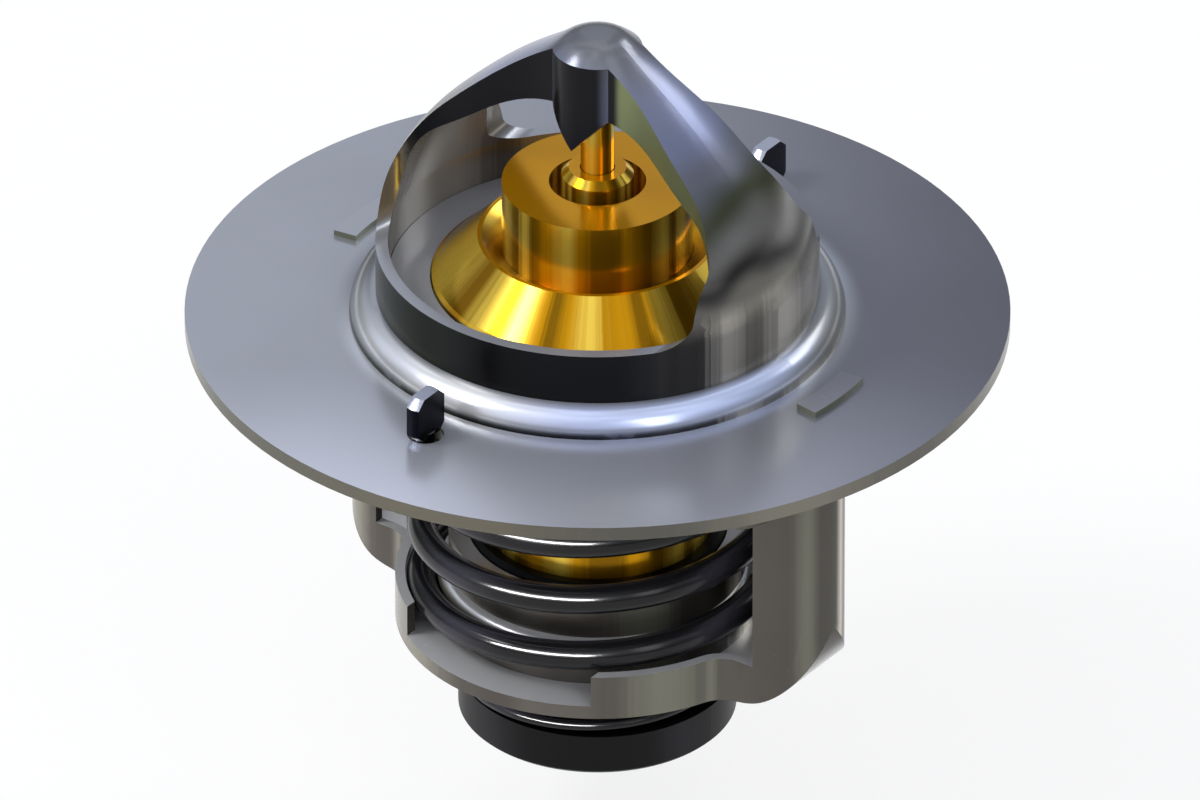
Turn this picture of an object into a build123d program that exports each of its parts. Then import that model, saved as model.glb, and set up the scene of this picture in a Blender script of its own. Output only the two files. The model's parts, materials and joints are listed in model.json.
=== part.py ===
from build123d import *
from math import radians, sqrt, tan
import os

# Engine thermostat with a wax element, a main valve and a bypass valve.
# Millimetres, +Z up. The origin is on the axis, in the top face of the flange.
# The legs and the arms of the bridge lie along X, the two air-bleed pins along Y.

# Clearances
seat_gap = 0.03         # between pieces that are pressed or crimped together
slide_gap = 0.05        # radial, round the piston
guide_gap = 0.1         # radial, round what slides in a sheet-metal bore

# Flange and collar
flange_radius = 28.0
flange_thickness = 1.0
collar_wall = 0.85
collar_bend = 1.8       # outer radius of the bend from flange to collar

# Domed bridge
dome_height = 21.9
crown_thickness = 5.0       # on the axis
hub_radius = 3.05
hub_length = 7.9            # from the top of the dome to the lowest edge of the hub
hub_wedge_height = 2.6
hub_wedge_half = 2.27
arm_half_at_hub = 2.03
arm_half_at_middle = 3.15
window_margin = 1.95        # from the windows' ends to the outside of the collar
window_corner = 1.5
sill_height = 5.45
window_flare = 5.9          # half width of an arm where it meets the window's end

# Valve seat
seat_width = 2.85
seat_top = 2.7
seat_thickness = 1.0
seat_skirt_wall = 0.7
seat_skirt_drop = 0.5

# Main valve
cone_lip_height = 0.4       # lip of the cone above the seat
cone_lip_chamfer = 0.25
cone_lip_round = 0.15
cone_groove_width = 1.65    # between the boss and the crest of the cone
cone_crest_flat = 0.3
cone_crest_height = 6.0
cone_groove_height = 5.06
cone_wall = 1.3
seal_thickness = 1.1
seal_grip = 1.85            # width of the seal inside the seat's bore
seal_margin = 0.4           # from the seal to the edge of the plate
plate_thickness = 0.8
plate_margin = 1.5          # from the middle of the spring's wire to the edge of the plate
plate_room = 0.7            # between plate and collar

# Wax element
boss_radius = 6.5
boss_top = 10.2
boss_bore_radius = 3.3
boss_bore_depth = 2.4
boss_flange_thickness = 1.2
guide_radius = 2.46
guide_top = 11.3
guide_length = 7.3
guide_chamfer = 0.5
piston_radius = 1.15
piston_grip = 1.5           # how far the piston goes into the hub above its wedge
piston_seal_thickness = 1.2
sleeve_length = 18.0
sleeve_flange_thickness = 1.0
sleeve_end_wall = 1.0
sleeve_end_chamfer = 0.3
body_wall = 0.8
body_length = 22.8
body_foot_chamfer = 0.6
body_mouth_chamfer = 0.5
crimp_thickness = 0.8

# Case below the element
case_radius = 8.8
case_top = -16.7
case_bottom = -28.0
case_floor = 1.8
case_wall = 0.9
case_chamfer = 0.3
stem_radius = 1.5
stem_boss_radius = 3.2

# Bypass valve
cap_wall = 0.62
cap_chamfer = 0.25
cap_top = -28.4
cap_height = 3.0
cap_floor_thickness = 0.6
cap_recess = 1.0
stem_end_clearance = 0.2
clip_radius = 3.0
clip_thickness = 0.5
clip_groove_depth = 0.35
bypass_wire = 0.7
bypass_wire_gap = 0.07      # between the wire and the case
bypass_turns = 1.4
bypass_spring_foot = 250.0  # degrees round the axis where the wire leaves the cap
bypass_closed_end = 200.0   # degrees of flat wire at each end
ring_thickness = 0.8
ring_reach = 1.1            # how far the ring stands out from the case
ring_groove_depth = 0.5
ring_height = -23.2         # top face of the spring ring
ring_opening = 40.0         # degrees left open in the ring

# Lower frame
frame_wall = 0.7
frame_floor = 1.0
frame_bottom = -24.2
rim_height = 3.3
rim_notch_half = 7.7
step_wall = 1.0
shoulder_height = -20.0
guide_collar_wall = 1.25
guide_collar_top = -17.1
leg_reach = 2.0             # from the rim to the middle of the leg's curve
leg_radius = 3.95
leg_corner = 6.0
arm_fillet = 2.0
head_half_width = 10.0
head_height = 6.0
head_corner = 2.5
head_offset = 0.05          # how far the head stands outside the leg
tab_half_angle = 7.5
slot_side_angle = 0.2       # room in the slot on each side of the tab
staked_half_angle = 7.85
staked_inward = 1.2         # how far the staked top spreads inside the tab's outer face
staked_outward = 0.5
staked_height = 0.4

# Main spring
main_wire = 2.0
case_to_spring = 3.2        # from the case to the middle of the spring's wire
spring_room = 0.1           # between the spring and the frame on each side
main_spring_pitch = 4.47
main_spring_foot = 145.0    # degrees round the axis where the wire leaves the floor
closed_end = 110.0          # degrees of flat wire at each end

# Air-bleed pins
pin_offset = 4.75           # from the collar to the pin
pin_hole_radius = 1.25
pin_head_radius = 1.55
pin_head_thickness = 1.0
pin_head_height = 3.25
pin_head_chamfer = 0.6
pin_foot_chamfer = 0.5
pin_neck_radius = 0.65
pin_neck_bite = 0.3         # how far the neck goes up into the head
pin_travel = 1.2
weight_radius = 1.7
weight_end_radius = 1.1
weight_height = 3.2
weight_floor = 0.5

# Radii that follow from the sizes above, from the case outwards
body_radius = case_radius - case_wall
body_inner = body_radius - body_wall
case_bore = body_radius + seat_gap
cap_radius = case_radius + guide_gap + cap_wall
ring_radius = case_radius + ring_reach
bypass_spring_radius = case_radius + bypass_wire_gap + bypass_wire / 2
frame_bore = case_radius + guide_gap
guide_collar_radius = frame_bore + guide_collar_wall
main_spring_radius = case_radius + case_to_spring
step_radius = main_spring_radius - main_wire / 2 - spring_room
frame_radius = main_spring_radius + main_wire / 2 + spring_room + frame_wall
leg_centre = frame_radius + leg_reach
leg_head_radius = leg_centre + leg_radius + head_offset
plate_radius = main_spring_radius + plate_margin
seal_radius = plate_radius - seal_margin
collar_inner = plate_radius + plate_room
collar_radius = collar_inner + collar_wall
window_half = collar_radius - window_margin     # half width of the windows along X
seat_radius = collar_inner - seat_width
seal_bore_radius = seat_radius - seal_grip
cone_radius = seat_radius - guide_gap
cone_crest_radius = boss_radius + cone_groove_width
pin_circle = collar_radius + pin_offset

# Heights that follow
crown_underside = dome_height - crown_thickness
hub_tip_height = dome_height - hub_length
hub_shoulder_height = hub_tip_height + hub_wedge_height
piston_top = hub_shoulder_height + piston_grip
seat_underside = seat_top - seat_thickness
seal_underside = seat_underside - seal_thickness
plate_underside = seal_underside - plate_thickness
boss_foot = plate_underside - crimp_thickness
guide_foot = guide_top - guide_length
sleeve_bottom = guide_foot - piston_seal_thickness - sleeve_length
body_bottom = plate_underside - body_length
cap_bottom = cap_top - cap_height
cap_floor_underside = cap_bottom + cap_recess
floor_top = frame_bottom + frame_floor
weight_top = -flange_thickness - pin_travel - guide_gap


def turned(*points):
    """A solid of revolution about Z from half of its section, as radius and height pairs."""
    section = make_face(Plane.XZ * Polyline(*points, close=True))
    return revolve(section, Axis.Z)


def ring(outer, inner, low, high):
    """A plain ring or tube about Z."""
    return turned((inner, low), (outer, low), (outer, high), (inner, high))


def upright(radius, low, high):
    """A plain round bar about Z."""
    return Pos(0, 0, low) * extrude(Circle(radius), high - low)


def sector(outer, inner, half_angle, low, high):
    """A piece of a ring that is centred on the X axis."""
    reach = 2 * outer
    spread = reach * tan(radians(half_angle))
    wedge = Polyline((0, 0), (reach, -spread), (reach, spread), close=True)
    plan = (Circle(outer) - Circle(inner)) & make_face(wedge)
    return Pos(0, 0, low) * extrude(plan, high - low)


def on_both_sides(piece):
    """The piece and its copy turned half a turn about Z."""
    return piece + Rot(0, 0, 180) * piece


def dome_section():
    """Half section of the flange, the collar and the closed dome before the windows are cut."""
    bend_centre = collar_radius + collar_bend
    outer = Spline(
        (0, dome_height),
        (0.12 * collar_radius, dome_height - 0.25),
        (0.206 * collar_radius, dome_height - 1.15),
        (0.3256 * collar_radius, dome_height - 2.5),
        (0.505 * collar_radius, dome_height - 4.55),
        (0.691 * collar_radius, dome_height - 7.1),
        (0.8439 * collar_radius, dome_height - 9.6),
        (0.9369 * collar_radius, dome_height - 11.9),
        (0.9834 * collar_radius, dome_height - 14.1),
        (collar_radius, sill_height),
        tangents=[(1, 0), (0, -1)],
        tangent_scalars=[1, 0.2],
    )
    outer_wall = Line((collar_radius, sill_height), (collar_radius, collar_bend))
    outer_bend = RadiusArc(
        (collar_radius, collar_bend), (bend_centre, 0), collar_bend, short_sagitta=True
    )
    top_face = Line((bend_centre, 0), (flange_radius, 0))
    rim_face = Line((flange_radius, 0), (flange_radius, -flange_thickness))
    inner_bend_radius = collar_bend + flange_thickness
    inner_bend_centre = collar_inner + inner_bend_radius
    under_face = Line((flange_radius, -flange_thickness), (inner_bend_centre, -flange_thickness))
    inner_bend = CenterArc((inner_bend_centre, collar_bend), inner_bend_radius, 180, 90)
    inner_wall = Line((collar_inner, collar_bend), (collar_inner, sill_height))
    inner = Spline(
        (collar_inner, sill_height),
        (0.9437 * collar_inner, crown_underside - 7.3),
        (0.8592 * collar_inner, crown_underside - 5.2),
        (0.7465 * collar_inner, crown_underside - 4.1),
        (0.493 * collar_inner, crown_underside - 1.7),
        (0.2535 * collar_inner, crown_underside - 0.4),
        (0, crown_underside),
        tangents=[(0, 1), (-1, 0)],
        tangent_scalars=[0.2, 1],
    )
    axis_line = Line((0, crown_underside), (0, dome_height))
    edges = [outer, outer_wall, outer_bend, top_face, rim_face, under_face]
    edges += [inner_bend, inner_wall, inner, axis_line]
    return make_face(Plane.XZ * Curve(children=edges))


def arm_plan():
    """Plan of one arm of the bridge: slim at the hub, flaring into the collar."""
    side = Spline(
        (0, arm_half_at_hub),
        (window_half - 8.5, arm_half_at_hub + 0.1),
        (window_half - 4.6, arm_half_at_middle),
        (window_half - 2.2, arm_half_at_middle + 0.5),
        (window_half - 0.7, arm_half_at_middle + 1.35),
        (window_half, window_flare),
        tangents=[(1, 0), (0, 1)],
    )
    end = Line((window_half, window_flare), (window_half, 0))
    middle = Line((window_half, 0), (0, 0))
    start = Line((0, 0), (0, arm_half_at_hub))
    half = make_face(Curve(children=[side, end, middle, start]))
    return half + mirror(half, Plane.XZ)


def make_flange_bridge():
    """Flange, collar and domed bridge, pressed from one sheet."""
    body = revolve(dome_section(), Axis.Z)
    hub = upright(hub_radius, hub_tip_height, dome_height - crown_thickness / 2)
    wedge = make_face(
        Plane.XZ
        * Polyline(
            (0, hub_tip_height),
            (hub_wedge_half, hub_shoulder_height),
            (2 * hub_radius, hub_shoulder_height),
            (2 * hub_radius, dome_height),
            (-2 * hub_radius, dome_height),
            (-2 * hub_radius, hub_shoulder_height),
            (-hub_wedge_half, hub_shoulder_height),
            close=True,
        )
    )
    hub = hub & extrude(wedge, 2 * hub_radius, both=True)

    arms = arm_plan()
    kept = arms + mirror(arms, Plane.YZ) + Circle(hub_radius)
    opening = Rectangle(2 * window_half, 2 * collar_radius + 2) - kept
    window_height = dome_height - sill_height + 1
    prism = Pos(0, 0, sill_height) * extrude(opening, window_height)
    elevation = Rectangle(2 * window_half, 2 * window_height)
    elevation = fillet(elevation.vertices(), window_corner)
    elevation = Pos(0, 0, sill_height + window_height) * (Plane.XZ * elevation)
    windows = prism & extrude(elevation, collar_radius + 1, both=True)
    body = body - windows + hub

    body -= upright(piston_radius + seat_gap, hub_tip_height - 1, piston_top)
    pin_hole = upright(pin_hole_radius, -2 * flange_thickness, flange_thickness)
    for side in (1, -1):
        body -= Pos(0, side * pin_circle, 0) * pin_hole
    slot = sector(
        leg_head_radius + seat_gap,
        leg_head_radius - frame_wall - seat_gap,
        tab_half_angle + slot_side_angle,
        -2 * flange_thickness,
        flange_thickness,
    )
    return body - on_both_sides(slot)


def make_seat_ring():
    """Valve seat: a turned ring with a short skirt, pressed into the collar."""
    outer = collar_inner - seat_gap
    skirt_inner = outer - seat_skirt_wall
    body = turned(
        (seat_radius, seat_underside),
        (skirt_inner, seat_underside),
        (skirt_inner, seat_underside - seat_skirt_drop),
        (outer, seat_underside - seat_skirt_drop),
        (outer, seat_top),
        (seat_radius, seat_top),
    )
    return body


def make_valve_cone():
    """Pressed brass cone: a lip in the seat, a sloping flank and a groove round the boss."""
    lip_top = seat_top + cone_lip_height
    bore = boss_radius + seat_gap
    body = turned(
        (bore, cone_groove_height),
        (cone_crest_radius - cone_crest_flat, cone_crest_height),
        (cone_crest_radius, cone_crest_height),
        (cone_radius - cone_lip_chamfer, lip_top),
        (cone_radius, lip_top - cone_lip_round),
        (cone_radius, seat_underside),
        (cone_radius - cone_wall, seat_underside),
        (cone_crest_radius, cone_crest_height - 2 * cone_wall),
        (bore, cone_groove_height - cone_wall),
    )
    return body


def make_element_boss():
    """Brass upper body of the element: boss above the cone, bore for the guide, crimped flange."""
    low = boss_foot - boss_flange_thickness
    bore = guide_radius + seat_gap
    body = turned(
        (bore, low),
        (body_inner - seat_gap, low),
        (body_inner - seat_gap, boss_foot),
        (boss_radius, boss_foot),
        (boss_radius, boss_top),
        (boss_bore_radius, boss_top),
        (boss_bore_radius, boss_top - boss_bore_depth),
        (bore, boss_top - boss_bore_depth),
    )
    return body


def make_guide_collar():
    """Brass guide that the piston slides in."""
    bore = piston_radius + slide_gap
    body = turned(
        (bore, guide_foot),
        (guide_radius, guide_foot),
        (guide_radius, guide_top - guide_chamfer),
        (guide_radius - guide_chamfer, guide_top),
        (bore, guide_top),
    )
    return body


def make_piston():
    """Steel piston, held in the hub of the bridge, with a domed lower end."""
    low = sleeve_bottom + sleeve_end_wall + guide_gap
    body = upright(piston_radius, low, piston_top - seat_gap)
    return fillet(body.edges().group_by(Axis.Z)[0], piston_radius / 2)


def make_piston_seal():
    """Rubber ring under the guide."""
    low = guide_foot - piston_seal_thickness
    return ring(guide_radius, piston_radius + slide_gap, low, guide_foot)


def make_rubber_sleeve():
    """Rubber sleeve round the piston, with its flange gripped under the boss."""
    top = guide_foot - piston_seal_thickness
    bore = piston_radius + slide_gap
    flange_top = boss_foot - boss_flange_thickness
    flange_low = flange_top - sleeve_flange_thickness
    body = turned(
        (0, sleeve_bottom),
        (guide_radius - sleeve_end_chamfer, sleeve_bottom),
        (guide_radius, sleeve_bottom + sleeve_end_chamfer),
        (guide_radius, flange_low),
        (body_inner - seat_gap, flange_low),
        (body_inner - seat_gap, flange_top),
        (guide_radius, flange_top),
        (guide_radius, top),
        (bore, top),
        (bore, sleeve_bottom + sleeve_end_wall),
        (0, sleeve_bottom + sleeve_end_wall),
    )
    return body


def make_wax_charge():
    """Wax that fills the cup round the sleeve."""
    high = boss_foot - boss_flange_thickness - sleeve_flange_thickness - seat_gap
    low = body_bottom + body_wall + seat_gap
    outer = body_inner - seat_gap
    inner = guide_radius + seat_gap
    hollow_floor = sleeve_bottom - seat_gap
    body = turned(
        (0, low),
        (outer, low),
        (outer, high),
        (inner, high),
        (inner, hollow_floor),
        (0, hollow_floor),
    )
    return body


def make_element_body():
    """Drawn brass cup of the element, its mouth crimped over the flange of the boss."""
    bore = boss_radius + seat_gap
    body = turned(
        (0, body_bottom),
        (body_radius - body_foot_chamfer, body_bottom),
        (body_radius, body_bottom + body_foot_chamfer),
        (body_radius, plate_underside - body_mouth_chamfer),
        (body_radius - body_mouth_chamfer, plate_underside),
        (bore, plate_underside),
        (bore, boss_foot + seat_gap),
        (body_inner, boss_foot + seat_gap),
        (body_inner, body_bottom + body_wall),
        (0, body_bottom + body_wall),
    )
    return body


def make_valve_seal():
    """Rubber ring gripped between cone and plate, which closes against the seat."""
    return ring(seal_radius, seal_bore_radius, seal_underside, seat_underside)


def make_valve_plate():
    """Steel plate behind the seal, which takes the main spring."""
    bore = boss_radius + seat_gap
    return ring(plate_radius, bore, plate_underside, seal_underside)


def make_element_case():
    """Black case pressed over the foot of the element; it slides in the lower frame."""
    floor_high = body_bottom - seat_gap
    floor_low = floor_high - case_floor
    inner = case_radius - case_wall
    groove_radius = case_radius - ring_groove_depth
    ring_low = ring_height - ring_thickness
    stem_bore = stem_radius + seat_gap
    body = turned(
        (stem_bore, case_bottom),
        (stem_boss_radius, case_bottom),
        (stem_boss_radius, floor_low),
        (inner, floor_low),
        (inner, case_bottom),
        (case_radius, case_bottom),
        (case_radius, ring_low),
        (groove_radius, ring_low),
        (groove_radius, ring_height),
        (case_radius, ring_height),
        (case_radius, case_top - case_chamfer),
        (case_radius - case_chamfer, case_top),
        (case_bore, case_top),
        (case_bore, floor_high),
        (stem_bore, floor_high),
    )
    return body


def make_spring_ring():
    """Split ring in the groove of the case, the upper stop of the bypass spring."""
    ring_low = ring_height - ring_thickness
    inner = case_radius - ring_groove_depth + seat_gap
    body = ring(ring_radius, inner, ring_low + seat_gap, ring_height - seat_gap)
    reach = 2 * ring_radius
    spread = reach * tan(radians(ring_opening / 2))
    gap = Polyline((0, 0), (-reach, -spread), (-reach, spread), close=True)
    return body - extrude(make_face(gap), 2 * abs(ring_low), both=True)


def make_bypass_stem():
    """Stem pressed into the case, with a groove for the clip under the cap."""
    top = body_bottom - 2 * seat_gap
    low = cap_bottom + stem_end_clearance
    groove_high = cap_floor_underside
    groove_low = groove_high - clip_thickness
    groove_radius = stem_radius - clip_groove_depth
    body = turned(
        (0, low),
        (stem_radius, low),
        (stem_radius, groove_low),
        (groove_radius, groove_low),
        (groove_radius, groove_high),
        (stem_radius, groove_high),
        (stem_radius, top),
        (0, top),
    )
    return body


def make_stem_clip():
    """Open clip in the groove of the stem, which keeps the cap on."""
    inner = stem_radius - clip_groove_depth + seat_gap
    high = cap_floor_underside
    body = ring(clip_radius, inner, high - clip_thickness + seat_gap, high)
    mouth = Pos(clip_radius, 0, high) * Box(2 * clip_radius, 1.6 * inner, 4 * clip_thickness)
    return body - mouth


def make_bypass_cap():
    """Black bypass valve: a shallow cup whose wall slides over the case."""
    inner = case_radius + guide_gap
    floor_high = cap_floor_underside + cap_floor_thickness
    hole = stem_radius + guide_gap
    body = turned(
        (hole, cap_floor_underside),
        (inner, cap_floor_underside),
        (inner, cap_bottom),
        (cap_radius - cap_chamfer, cap_bottom),
        (cap_radius, cap_bottom + cap_chamfer),
        (cap_radius, cap_top),
        (inner, cap_top),
        (inner, floor_high),
        (hole, floor_high),
    )
    return body


def wound_spring(mean_radius, wire, foot, foot_angle, turns, pitch, flat):
    """Right-handed spring: a flat end turn, the rising turns and another flat end turn.

    foot is the height of the wire's centre in the lower end turn, and foot_angle is where the wire
    starts to rise.
    """
    section = Plane.XZ * (Pos(mean_radius, 0) * Circle(wire / 2))
    low_end = Pos(0, 0, foot) * (Rot(0, 0, -flat) * revolve(section, Axis.Z, flat))
    path = Helix(pitch=pitch, height=turns * pitch, radius=mean_radius)
    rise = Pos(0, 0, foot) * sweep(section, path=path, is_frenet=True)
    high_start = Pos(0, 0, foot + turns * pitch) * Rot(0, 0, 360 * turns)
    high_end = high_start * revolve(section, Axis.Z, flat)
    return Rot(0, 0, foot_angle) * (low_end + rise + high_end)


def make_main_spring():
    """Main spring, from the floor of the lower frame up to the valve plate."""
    foot = floor_top + main_wire / 2
    rise = plate_underside - main_wire / 2 - foot
    turns = rise / main_spring_pitch
    return wound_spring(
        main_spring_radius,
        main_wire,
        foot,
        main_spring_foot,
        turns,
        main_spring_pitch,
        closed_end,
    )


def make_bypass_spring():
    """Bypass spring, from the rim of the cap up to the ring on the case."""
    foot = cap_top + bypass_wire / 2
    rise = ring_height - ring_thickness - bypass_wire / 2 - foot
    return wound_spring(
        bypass_spring_radius,
        bypass_wire,
        foot,
        bypass_spring_foot,
        bypass_turns,
        rise / bypass_turns,
        bypass_closed_end,
    )


def frame_outline(ring_radius_here, half_width, round_radius):
    """Plan of the frame: a ring with an arm to each leg, the inner corners rounded."""
    plan = Circle(ring_radius_here) + SlotCenterToCenter(2 * leg_centre, 2 * half_width)
    meeting = sqrt(ring_radius_here**2 - half_width**2)
    corners = [
        vertex
        for vertex in plan.vertices()
        if abs(abs(vertex.X) - meeting) < 0.01 and abs(abs(vertex.Y) - half_width) < 0.01
    ]
    return fillet(corners, round_radius)


def make_lower_frame():
    """Drawn lower frame: guide collar, spring floor, rim, two channel legs and staked heads."""
    inner_half = leg_radius - frame_wall
    outer_plan = frame_outline(frame_radius, leg_radius, arm_fillet)
    inner_plan = frame_outline(frame_radius - frame_wall, inner_half, arm_fillet + frame_wall)
    leg_top = -flange_thickness

    # Floor and rim, with the rim cut away between the legs
    floor = Pos(0, 0, frame_bottom) * extrude(outer_plan - Circle(step_radius - step_wall), frame_floor)
    rim_plan = outer_plan - inner_plan
    notch = Rectangle(2 * rim_notch_half, 4 * frame_radius) - Rectangle(4 * frame_radius, frame_radius)
    rim = Pos(0, 0, frame_bottom) * extrude(rim_plan - notch, rim_height)

    # Step up to the collar that guides the case
    step_inner = step_radius - step_wall
    under = shoulder_height - step_wall
    section = Polyline(
        (step_inner, frame_bottom),
        (step_radius, frame_bottom),
        (step_radius, shoulder_height),
        (guide_collar_radius, shoulder_height),
        (guide_collar_radius, guide_collar_top),
        (frame_bore, guide_collar_top),
        (frame_bore, under),
        (step_inner, under),
        close=True,
    )
    step = revolve(make_face(Plane.XZ * section), Axis.Z)
    shoulder_edges = [
        edge
        for edge in step.edges().filter_by(GeomType.CIRCLE)
        if abs(edge.radius - step_radius) < 0.01 and abs(edge.center().Z - shoulder_height) < 0.01
    ]
    step = fillet(shoulder_edges, 0.99 * (step_radius - guide_collar_radius))

    # Channel legs
    channel = [
        ThreePointArc((0, -leg_radius), (leg_radius, 0), (0, leg_radius)),
        Line((0, leg_radius), (0, inner_half)),
        ThreePointArc((0, inner_half), (inner_half, 0), (0, -inner_half)),
        Line((0, -inner_half), (0, -leg_radius)),
    ]
    leg_plan = Pos(leg_centre, 0) * make_face(Curve(children=channel))
    leg = Pos(0, 0, frame_bottom) * extrude(leg_plan, leg_top - frame_bottom)

    # Head of the leg: a curved band under the flange, a tab through it and the staked top
    band = sector(leg_head_radius, leg_head_radius - frame_wall, 60, leg_top - head_height, leg_top)
    band_view = Rectangle(2 * head_half_width, 2 * head_height)
    band_view = fillet(band_view.vertices(), head_corner)
    band_box = extrude(Plane.YZ * band_view, 2 * leg_head_radius)
    leg += band & (Pos(0, 0, leg_top) * band_box)
    leg += sector(leg_head_radius, leg_head_radius - frame_wall, tab_half_angle, leg_top, 0)
    staked_outer = leg_head_radius + staked_outward
    staked_inner = leg_head_radius - staked_inward
    leg += sector(staked_outer, staked_inner, staked_half_angle, 0, staked_height)

    body = floor + rim + step + on_both_sides(leg)

    # Rounded lower corner of each leg
    outer_x = leg_centre + leg_radius
    bend_x = outer_x - leg_corner
    bend_z = frame_bottom + leg_corner
    far = 2 * leg_corner
    outside = make_face(
        Plane.XZ
        * Curve(
            children=[
                Line((bend_x, frame_bottom - far), (outer_x + far, frame_bottom - far)),
                Line((outer_x + far, frame_bottom - far), (outer_x + far, bend_z)),
                Line((outer_x + far, bend_z), (outer_x, bend_z)),
                CenterArc((bend_x, bend_z), leg_corner, 270, 90),
                Line((bend_x, frame_bottom), (bend_x, frame_bottom - far)),
            ]
        )
    )
    body -= on_both_sides(extrude(outside, 2 * leg_radius, both=True))
    quarter = make_face(Polyline((0, 0), (far, 0), (far, -far), (0, -far), close=True))
    bend = (Circle(leg_corner) - Circle(leg_corner - frame_floor)) & quarter
    bend = Plane.XZ * (Pos(bend_x, bend_z) * bend)
    bend = extrude(bend, 2 * leg_radius, both=True)
    bend &= Pos(0, 0, frame_bottom) * extrude(outer_plan, leg_corner)
    return body + on_both_sides(bend)


def make_air_pin():
    """Air-bleed pin: a round head with two flats, resting over its hole, and a thin neck."""
    head = upright(pin_head_radius, 0, pin_head_height)
    head = chamfer(head.edges().filter_by(GeomType.CIRCLE).group_by(Axis.Z)[-1], pin_head_chamfer)
    head = chamfer(head.edges().filter_by(GeomType.CIRCLE).group_by(Axis.Z)[0], pin_foot_chamfer)
    head &= Box(pin_head_thickness, 4 * pin_head_radius, 3 * pin_head_height)
    neck_foot = weight_top - weight_height + weight_floor + guide_gap
    return head + upright(pin_neck_radius, neck_foot, pin_neck_bite)


def make_pin_weight():
    """Barrel-shaped weight crimped on the foot of an air-bleed pin."""
    low = weight_top - weight_height
    middle = (weight_top + low) / 2
    bore = pin_neck_radius + seat_gap
    outline = [
        Line((bore, weight_top), (weight_end_radius, weight_top)),
        ThreePointArc((weight_end_radius, weight_top), (weight_radius, middle), (weight_end_radius, low)),
        Line((weight_end_radius, low), (0, low)),
        Line((0, low), (0, low + weight_floor)),
        Line((0, low + weight_floor), (bore, low + weight_floor)),
        Line((bore, low + weight_floor), (bore, weight_top)),
    ]
    return revolve(make_face(Plane.XZ * Curve(children=outline)), Axis.Z)


nodes = {
    "flange_bridge": make_flange_bridge(),
    "seat_ring": make_seat_ring(),
    "lower_frame": make_lower_frame(),
    "main_spring": make_main_spring(),
    "piston": make_piston(),
    "valve_cone": make_valve_cone(),
    "valve_seal": make_valve_seal(),
    "valve_plate": make_valve_plate(),
    "element_boss": make_element_boss(),
    "guide_collar": make_guide_collar(),
    "piston_seal": make_piston_seal(),
    "rubber_sleeve": make_rubber_sleeve(),
    "wax_charge": make_wax_charge(),
    "element_body": make_element_body(),
    "element_case": make_element_case(),
    "spring_ring": make_spring_ring(),
    "bypass_stem": make_bypass_stem(),
    "stem_clip": make_stem_clip(),
    "bypass_cap": make_bypass_cap(),
    "bypass_spring": make_bypass_spring(),
}
for letter, side in (("a", -1), ("b", 1)):
    place = Pos(0, side * pin_circle, 0)
    nodes["air_pin_" + letter] = place * make_air_pin()
    nodes["pin_weight_" + letter] = place * make_pin_weight()

os.makedirs("parts", exist_ok=True)
for name, solid in nodes.items():
    export_step(solid, os.path.join("parts", name + ".step"))
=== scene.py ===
import json
import math

import bpy
from mathutils import Matrix, Vector


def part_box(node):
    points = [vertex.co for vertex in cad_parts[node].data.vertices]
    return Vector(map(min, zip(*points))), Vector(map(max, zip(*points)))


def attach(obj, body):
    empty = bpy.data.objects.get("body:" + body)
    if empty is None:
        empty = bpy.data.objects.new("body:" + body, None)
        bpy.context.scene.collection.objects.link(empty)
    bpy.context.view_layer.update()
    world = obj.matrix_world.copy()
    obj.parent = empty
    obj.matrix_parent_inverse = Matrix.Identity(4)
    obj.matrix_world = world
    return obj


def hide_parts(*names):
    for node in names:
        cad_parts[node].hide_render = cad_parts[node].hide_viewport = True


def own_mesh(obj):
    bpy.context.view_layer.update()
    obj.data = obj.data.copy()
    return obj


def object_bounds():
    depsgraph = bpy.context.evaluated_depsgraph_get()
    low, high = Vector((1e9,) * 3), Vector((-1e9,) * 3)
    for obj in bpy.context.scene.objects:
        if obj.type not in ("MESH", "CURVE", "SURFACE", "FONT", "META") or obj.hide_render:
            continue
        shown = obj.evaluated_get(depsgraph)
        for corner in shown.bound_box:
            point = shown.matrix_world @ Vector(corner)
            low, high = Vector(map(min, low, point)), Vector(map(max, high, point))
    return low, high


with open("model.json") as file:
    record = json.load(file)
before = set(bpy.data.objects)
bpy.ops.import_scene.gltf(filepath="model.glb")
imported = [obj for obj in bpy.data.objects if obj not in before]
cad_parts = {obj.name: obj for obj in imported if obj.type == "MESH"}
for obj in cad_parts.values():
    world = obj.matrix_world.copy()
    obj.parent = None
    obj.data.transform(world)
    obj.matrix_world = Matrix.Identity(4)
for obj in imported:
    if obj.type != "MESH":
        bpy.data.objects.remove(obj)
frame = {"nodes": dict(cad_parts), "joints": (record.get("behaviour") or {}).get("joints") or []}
cad_low, cad_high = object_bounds()
nodes = frame["nodes"]

MM = 0.001

# The view: where the camera stands, the scale of the picture at the part, and the pixel where the
# flange's centre falls
AZIMUTH = math.radians(35.8)
ELEVATION = math.radians(31.9)
PICTURE_WIDTH_PX = 1200
PICTURE_HEIGHT_PX = 800
PIXELS_PER_MM = 14.75
ORIGIN_PX = (597.5, 308.5)
LENS_MM = 1000
SENSOR_MM = 36
CLIP_START = 0.1
CLIP_END = 20.0

# Main spring, as in the frame: a flat turn at each end and the rising turns between them
WIRE = 2.0 * MM
COIL_RADIUS = 12.0 * MM
COIL_PITCH = 4.47 * MM
COIL_START = math.radians(145)
FLAT_TURN = math.radians(110)
WIRE_SIDES = 32

# Bypass spring
THIN_WIRE = 0.7 * MM
THIN_COIL_RADIUS = 9.22 * MM
THIN_COIL_TURNS = 1.4
THIN_COIL_START = math.radians(250)
THIN_FLAT_TURN = math.radians(200)
THIN_WIRE_SIDES = 20

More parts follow.
